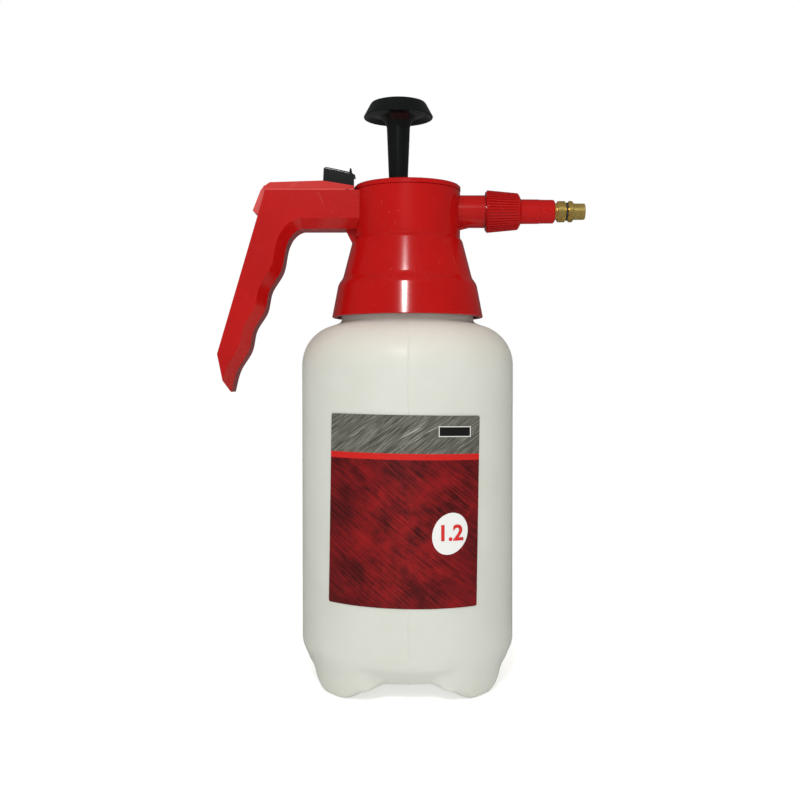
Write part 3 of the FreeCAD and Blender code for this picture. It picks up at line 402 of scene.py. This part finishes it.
def label_red(tree, right, up, cloud):
    """The red field: brushed lines falling to the right over dark clouds, lighter towards the middle."""
    lines = plus(tree, brushed(tree, -0.70, 45, 1300, 0.5), brushed(tree, -0.62, 80, 2600, 0.9))
    lines = times(tree, lines, 0.5)
    falling = spread(tree, brushed(tree, -0.75, 35, 1500, 1.4), 0.60, 0.76)
    rising = spread(tree, brushed(tree, 1.0, 30, 1100, 1.9), 0.70, 0.80)
    sparks = math_node(tree, "MAXIMUM", falling, rising)
    red = mix(tree, spread(tree, cloud, 0.34, 0.68), (0.205, 0.0035, 0.005), (0.032, 0.0015, 0.002))
    off_side = math_node(tree, "DIVIDE", math_node(tree, "ABSOLUTE", right), LABEL_W / 2)
    off_middle = math_node(tree, "ABSOLUTE", plus(tree, up, 12 * MM))
    off_middle = math_node(tree, "DIVIDE", off_middle, LABEL_H / 2)
    edge = spread(tree, math_node(tree, "MAXIMUM", off_side, off_middle), 0.35, 1.0)
    red = mix(tree, times(tree, edge, 0.55), red, (0.050, 0.003, 0.005))
    red = mix(tree, times(tree, spread(tree, lines, 0.46, 0.64), 0.40), red, (0.31, 0.008, 0.008))
    red = mix(tree, times(tree, spread(tree, lines, 0.50, 0.36), 0.55), red, (0.030, 0.002, 0.003))
    return mix(tree, times(tree, sparks, 0.65), red, (0.50, 0.018, 0.016))


def label_material():
    """Printed film: a scratched metal band with a plain plate, a bright stripe, a red field with an oval."""
    material, tree, shader = start_material("label_film", Specular_IOR_Level=0.2)
    right, up = label_axes(tree)
    cloud = noise(tree, coordinates(tree, (1, 0.3, 1)), 62.0, 6.0, 0.62)
    in_band = math_node(tree, "GREATER_THAN", up, BAND_FROM)
    base = mix(tree, in_band, label_red(tree, right, up, cloud), label_metal(tree, cloud))
    from_stripe = minus(tree, up, (STRIPE_FROM + BAND_FROM) / 2)
    in_stripe = within(tree, from_stripe, (BAND_FROM - STRIPE_FROM) / 2)
    base = mix(tree, in_stripe, base, (0.43, 0.009, 0.007))
    plate, fill = plate_masks(tree, right, up)
    base = mix(tree, plate, base, (0.56, 0.56, 0.545))
    base = mix(tree, fill, base, (0.008, 0.008, 0.008))
    base = mix(tree, oval_mask(tree, right, up), base, (0.60, 0.605, 0.595))
    feed(tree, base, shader, "Base Color")
    feed(tree, spread(tree, cloud, 0.2, 0.8, 0.34, 0.46), shader, "Roughness")
    bump(tree, shader, noise(tree, coordinates(tree), 500.0, 3.0), 0.03, 0.1 * MM)
    return material


# ---- finish of each slot ----------------------------------------------------------------------------------
RED = (0.340, 0.0036, 0.0031)
RED_DARK = (0.300, 0.0028, 0.0026)
FINISHES = {
    "milky_plastic": milky_material(),
    "label_film": label_material(),
    "red_plastic": plastic("red_polypropylene", RED, RED_DARK, 0.16, 0.02, 0.28),
    # The cover's lighter, pinker red is partly its own moulding and partly a painted sheen of the light on
    # its top.
    "red_cover": plastic("red_cover", (0.47, 0.030, 0.026), (0.42, 0.018, 0.016), 0.40, 0.25, 0.6),
    "black_plastic": plastic(
        "black_plastic", (0.0055, 0.0065, 0.0065), (0.0035, 0.004, 0.004), 0.17, 0.06, 0.2,
        scuff=(0.04, 0.045, 0.04), Specular_IOR_Level=0.38),
    "white_plastic": plastic(
        "natural_acetal", (0.78, 0.77, 0.73), (0.72, 0.71, 0.67), 0.35, 0.2, 0.2, scuff=(0.6, 0.58, 0.53)),
    "clear_tube": plastic(
        "natural_tube", (0.74, 0.76, 0.74), (0.68, 0.70, 0.68), 0.3, 0.2, 0.2, scuff=(0.6, 0.6, 0.6)),
    "blue_plastic": plastic(
        "blue_strainer", (0.06, 0.16, 0.34), (0.05, 0.13, 0.28), 0.4, 0.2, 0.2, scuff=(0.3, 0.4, 0.5)),
    "black_rubber": rubber_material(),
    "steel_pin": steel_material(),
    "brass": brass_material(),
}


def finish_nodes():
    """Each CAD node gets the finish of its slot."""
    for part in frame["record"]["subparts"]:
        node = frame["nodes"][part["node"]]
        node.data.materials.clear()
        node.data.materials.append(FINISHES[part["material_slot"]])


finish_nodes()


# ---- bottle shell -----------------------------------------------------------------------------------------
BOTTLE_R = 52.0                 # millimetres, as all of the bottle's outlines are
WALL = 1.6
SIDE_TOP = 156.5
SHOULDER_R = 20.0
BASE_TOP = 26.0
ARCH_TOP = 8.5
OUTER_NECK = [(34.6, 176.7), (33.3, 177.4), (32.6, 178.4), (32.5, 181.6), (28.6, 182.8), (28.6, 198.1)]
INNER_NECK = [(31.5, 175.3), (27.2, 177.2), (26.5, 179.0), (26.5, 198.1)]
FOOT_ROWS = 46
COLUMNS = 160
PARTING_LINES = (90.0, 270.0)   # degrees round the bottle
PARTING_MARKS = (-1.2, -0.55, -0.3, -0.12, 0.12, 0.3, 0.55, 1.2)
PARTING_PROUD = 0.22
PARTING_HALF = 0.30
PARTING_LOW = 24.0
PARTING_HIGH = 176.0
PARTING_INNER = 33.0


def smooth_step(value, low, high):
    share = min(1.0, max(0.0, (value - low) / (high - low)))
    return share * share * (3 - 2 * share)


def between(a, b, share):
    """The point at a share of the way from a to b."""
    return (a[0] + (b[0] - a[0]) * share, a[1] + (b[1] - a[1]) * share)


def dense(points, step):
    """The (radius, height) outline with points no further apart than step, and its corners kept."""
    result = [points[0]]
    for a, b in zip(points[:-1], points[1:]):
        parts = max(1, round(math.dist(a, b) / step))
        result += [between(a, b, i / parts) for i in range(1, parts + 1)]
    return result


def arc(centre, radius, start, stop, count):
    """Points of an arc, its angles in degrees from the radius axis."""
    turn = [math.radians(start + (stop - start) * i / count) for i in range(count + 1)]
    return [(centre[0] + radius * math.cos(a), centre[1] + radius * math.sin(a)) for a in turn]


def even(points, count):
    """The outline resampled to count points at equal spacing, so that two outlines match point by point."""
    lengths = [0.0]
    for a, b in zip(points[:-1], points[1:]):
        lengths.append(lengths[-1] + math.dist(a, b))
    result = []
    k = 0
    for i in range(count):
        at = lengths[-1] * i / (count - 1)
        while k < len(points) - 2 and lengths[k + 1] < at:
            k += 1
        span = max(1e-9, lengths[k + 1] - lengths[k])
        result.append(between(points[k], points[k + 1], min(1.0, (at - lengths[k]) / span)))
    return result


def taper_top(inset):
    """Where the base's taper meets the straight side."""
    return [(51.5 - inset, 20.2), (BOTTLE_R - inset, 22.4), (BOTTLE_R - inset, BASE_TOP)]


def foot_outline(inset):
    """From the middle of the base out over a foot and up the tapered side."""
    under = [(0.0, ARCH_TOP), (22.0, ARCH_TOP), (28.5, 7.0), (36.5, 1.9), (39.8, 0.4)]
    under = [(radius, height + inset) for radius, height in under]
    toe = arc((42.4 - inset, 4.5 + inset), 4.5, 268, 342, 10)
    return even(under + toe + [(48.7 - inset, 12.5)] + taper_top(inset), FOOT_ROWS)


def arch_outline(inset, at_side):
    """From the middle out under an arch and up: a slanted panel in front, the plain taper at a side."""
    under = [(0.0, ARCH_TOP + inset), (30.0, ARCH_TOP + inset)]
    if at_side:
        wall = [(43.9 - inset, 8.8 + inset), (46.3 - inset, 9.5), (48.7 - inset, 13.6)]
    else:
        wall = [(38.5 - inset, 8.5 + inset), (41.0 - inset, 9.2), (50.3 - inset, 17.6)]
    return even(under + wall + taper_top(inset), FOOT_ROWS)


def is_at_side(angle):
    return abs(math.cos(angle)) > abs(math.sin(angle))


def foot_share(angle, share):
    """How much of a foot the base is, against an arch, at an angle and a share of the way out."""
    off_arch = abs((math.degrees(angle) + 45.0) % 90.0 - 45.0)
    low, high = (9.0, 32.0) if is_at_side(angle) else (16.0, 45.0)
    under = smooth_step(off_arch, low, high)
    panel_edge = 20.0 + 15.0 * smooth_step(share, 0.70, 0.92)
    wall = smooth_step(off_arch, panel_edge - 7.0, panel_edge + 5.0)
    return under + (wall - under) * smooth_step(share, 0.60, 0.76)


def base_column(angle, inset):
    """The base's outline at an angle, between that of a foot and that of an arch."""
    column = []
    for k, (arch, foot) in enumerate(zip(arch_outline(inset, is_at_side(angle)), foot_outline(inset))):
        column.append(between(arch, foot, foot_share(angle, k / (FOOT_ROWS - 1))))
    return column


def side_outline(inset, neck):
    """From the top of the base up the straight side, over the shoulder and up the neck."""
    side = dense([(BOTTLE_R - inset, BASE_TOP + 2.0), (BOTTLE_R - inset, SIDE_TOP)], 6.0)
    shoulder = arc((BOTTLE_R - SHOULDER_R, SIDE_TOP), SHOULDER_R - inset, 3, 68, 20)
    return side + shoulder + dense(neck, 2.5)


def shell_angles():
    """The columns' angles: even, and closer together at the two parting lines."""
    degrees = [i * 360.0 / COLUMNS for i in range(COLUMNS)]
    degrees += [mid + extra for mid in PARTING_LINES for extra in PARTING_MARKS]
    return sorted(math.radians(d) for d in degrees)


def parting_height(angle):
    """How far the mould's parting line stands proud at an angle."""
    near = min(abs(angle - math.radians(mid)) for mid in PARTING_LINES) * BOTTLE_R
    return PARTING_PROUD * max(0.0, 1.0 - near / PARTING_HALF)


def make_bottle_shell():
    """The blown bottle: one skin outside, over the lip and down the inside, with four soft feet."""
    outer_side = side_outline(0.0, OUTER_NECK)
    inner_side = side_outline(WALL, INNER_NECK)
    outer_rows = FOOT_ROWS + len(outer_side)
    rows = outer_rows + FOOT_ROWS + len(inner_side)
    angles = shell_angles()
    count = len(angles)
    deselect()
    bpy.ops.mesh.primitive_grid_add(x_subdivisions=count - 1, y_subdivisions=rows - 1, size=1.0)
    shell = bpy.context.object
    shell.name = "bottle_shell"
    for i, angle in enumerate(angles):
        outside = base_column(angle, 0.0) + outer_side
        inside = base_column(angle, WALL) + inner_side
        proud = parting_height(angle)
        for k, (radius, height) in enumerate(outside + inside[::-1]):
            if k < outer_rows and PARTING_LOW < height < PARTING_HIGH and radius > PARTING_INNER:
                radius += proud
            place = (radius * math.cos(angle) * MM, radius * math.sin(angle) * MM, height * MM)
            shell.data.vertices[k * count + i].co = place
    bpy.context.view_layer.objects.active = shell
    bpy.ops.object.mode_set(mode="EDIT")
    close_seam(shell, count, rows)
    bpy.ops.mesh.select_all(action="SELECT")
    bpy.ops.mesh.remove_doubles(threshold=0.005 * MM)
    bpy.ops.mesh.normals_make_consistent(inside=False)
    bpy.ops.object.mode_set(mode="OBJECT")
    bpy.ops.object.shade_smooth()
    shell.data.materials.clear()
    shell.data.materials.append(FINISHES["milky_plastic"])
    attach(shell, "bottle")
    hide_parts("bottle")


def close_seam(shell, count, rows):
    """Faces between the last and the first column of the grid."""
    work = bmesh.from_edit_mesh(shell.data)
    work.verts.ensure_lookup_table()
    for k in range(rows - 1):
        corners = [k * count + count - 1, k * count, (k + 1) * count, (k + 1) * count + count - 1]
        work.faces.new([work.verts[c] for c in corners])
    bmesh.update_edit_mesh(shell.data)


# ---- number on the label ----------------------------------------------------------------------------------
NUMBER_SIZE = 9.8 * MM
NUMBER_WEIGHT = 0.28 * MM
NUMBER_SHIFT = 0.2 * MM
INK_T = 0.05 * MM


def make_number():
    """A plain number printed in the oval, wrapped on the label's round face."""
    low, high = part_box("label")
    centre_x = (low.x + high.x) / 2 + OVAL_AT[0] + NUMBER_SHIFT
    centre_z = (low.z + high.z) / 2 + OVAL_AT[1] - OVAL_AT[0] * math.tan(LABEL_TILT)
    deselect()
    bpy.ops.object.text_add(location=(0, 0, 0))
    number = bpy.context.object
    number.name = "label_number"
    number.data.body = "1.2"
    number.data.size = NUMBER_SIZE
    number.data.offset = NUMBER_WEIGHT
    number.data.resolution_u = 4
    number.data.align_x = "CENTER"
    number.data.align_y = "CENTER"
    bpy.ops.object.convert(target="MESH")
    number = bpy.context.object
    bpy.ops.object.mode_set(mode="EDIT")
    bpy.ops.mesh.select_all(action="SELECT")
    bpy.ops.mesh.remove_doubles(threshold=0.01 * MM)
    bpy.ops.mesh.quads_convert_to_tris(quad_method="BEAUTY", ngon_method="BEAUTY")
    bpy.ops.mesh.subdivide(number_cuts=3)
    bpy.ops.object.mode_set(mode="OBJECT")
    radius = -low.y + INK_T
    for vertex in number.data.vertices:
        x = centre_x + vertex.co.x
        z = centre_z + vertex.co.y - vertex.co.x * math.tan(LABEL_TILT)
        vertex.co = (x, -math.sqrt(radius ** 2 - x ** 2), z)
    ink = number.modifiers.new("ink", "SOLIDIFY")
    ink.thickness = INK_T
    ink.offset = 1.0
    bpy.ops.object.modifier_apply(modifier="ink")
    number.data.materials.clear()
    ink_red = plastic("red_ink", (0.55, 0.010, 0.010), (0.48, 0.008, 0.008), 0.4, 0.1, 0.1)
    number.data.materials.append(ink_red)
    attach(number, "bottle")


def make_valve_spring():
    """The valve's return spring: a steel copy of the CAD coil, carried with the head."""
    coil = bpy.data.objects.new("valve_coil", frame["nodes"]["valve_spring"].data.copy())
    bpy.context.scene.collection.objects.link(coil)
    deselect()
    coil.select_set(True)
    bpy.context.view_layer.objects.active = coil
    bpy.ops.object.mode_set(mode="EDIT")
    bpy.ops.mesh.select_all(action="SELECT")
    bpy.ops.mesh.remove_doubles(threshold=0.001 * MM)
    bpy.ops.object.mode_set(mode="OBJECT")
    coil.data.materials.clear()
    coil.data.materials.append(FINISHES["steel_pin"])
    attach(coil, "head")
    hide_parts("valve_spring")
    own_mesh(coil)


# ---- studio -----------------------------------------------------------------------------------------------
AMBIENT = (0.405, 0.39, 0.355)
BACKDROP = (1.0, 1.0, 1.0)
FLOOR_GLOW = 0.42
REFLECTED = 0.10
CAMERA_LENS = 47.25
CAMERA_AT = (-3.7 * MM, -521.3 * MM, 148.2 * MM)
CAMERA_DOWN = 0.98              # degrees


def make_floor():
    deselect()
    bpy.ops.mesh.primitive_plane_add(size=14.0, location=(0, 0, 0))
    floor = bpy.context.object
    floor.name = "studio_floor"
    material, tree, shader = start_material(
        "pale_floor", Roughness=0.6, Specular_IOR_Level=0.2,
        Emission_Color=(1.0, 1.0, 1.0, 1.0), Emission_Strength=FLOOR_GLOW)
    tone = spread(tree, noise(tree, coordinates(tree), 3.0, 3.0), 0.3, 0.7)
    feed(tree, mix(tree, tone, (0.905, 0.905, 0.92), (0.92, 0.92, 0.935)), shader, "Base Color")
    floor.data.materials.append(material)
    floor.visible_glossy = False


def area_light(name, at, target, size_x, size_y, power):
    data = bpy.data.lights.new(name, "AREA")
    data.shape = "RECTANGLE"
    data.size = size_x
    data.size_y = size_y
    data.energy = power
    light = bpy.data.objects.new(name, data)
    bpy.context.scene.collection.objects.link(light)
    light.location = at
    light.rotation_euler = (Vector(target) - Vector(at)).to_track_quat("-Z", "Y").to_euler()
    return light


def make_world():
    """White all round for sight, with a soft light from all sides, but dim in reflections."""
    world = bpy.data.worlds.new("studio")
    bpy.context.scene.world = world
    world.use_nodes = True
    tree = world.node_tree
    background = tree.nodes["Background"]
    path = tree.nodes.new("ShaderNodeLightPath")
    seen = mix(tree, path.outputs["Is Camera Ray"], AMBIENT, BACKDROP)
    shown = mix(tree, path.outputs["Is Glossy Ray"], seen, (REFLECTED, REFLECTED, REFLECTED))
    tree.links.new(shown, background.inputs["Color"])
    background.inputs["Strength"].default_value = 1.0


def make_lights():
    area_light("flash", (-0.07, -0.78, 0.62), (0, 0, 0.19), 0.07, 0.14, 3.2)
    faint = area_light("faint_front", (-0.05, -0.95, 0.2), (0, 0, 0.15), 0.5, 0.5, 1.6)
    faint.visible_glossy = False
    data = bpy.data.lights.new("overhead", "SUN")
    data.energy = 1.35
    data.angle = math.radians(70)
    overhead = bpy.data.objects.new("overhead", data)
    bpy.context.scene.collection.objects.link(overhead)
    overhead.rotation_euler = (math.radians(24), 0, 0)
    overhead.visible_glossy = False


def make_camera():
    data = bpy.data.cameras.new("view")
    data.sensor_width = 36.0
    data.lens = CAMERA_LENS
    data.clip_start = 0.01
    camera = bpy.data.objects.new("view", data)
    bpy.context.scene.collection.objects.link(camera)
    camera.location = CAMERA_AT
    camera.rotation_euler = (math.radians(90 - CAMERA_DOWN), 0, 0)
    bpy.context.scene.camera = camera
    bpy.context.scene.view_settings.view_transform = "Standard"


make_bottle_shell()
make_number()
make_valve_spring()
make_floor()
make_world()
make_lights()
make_camera()
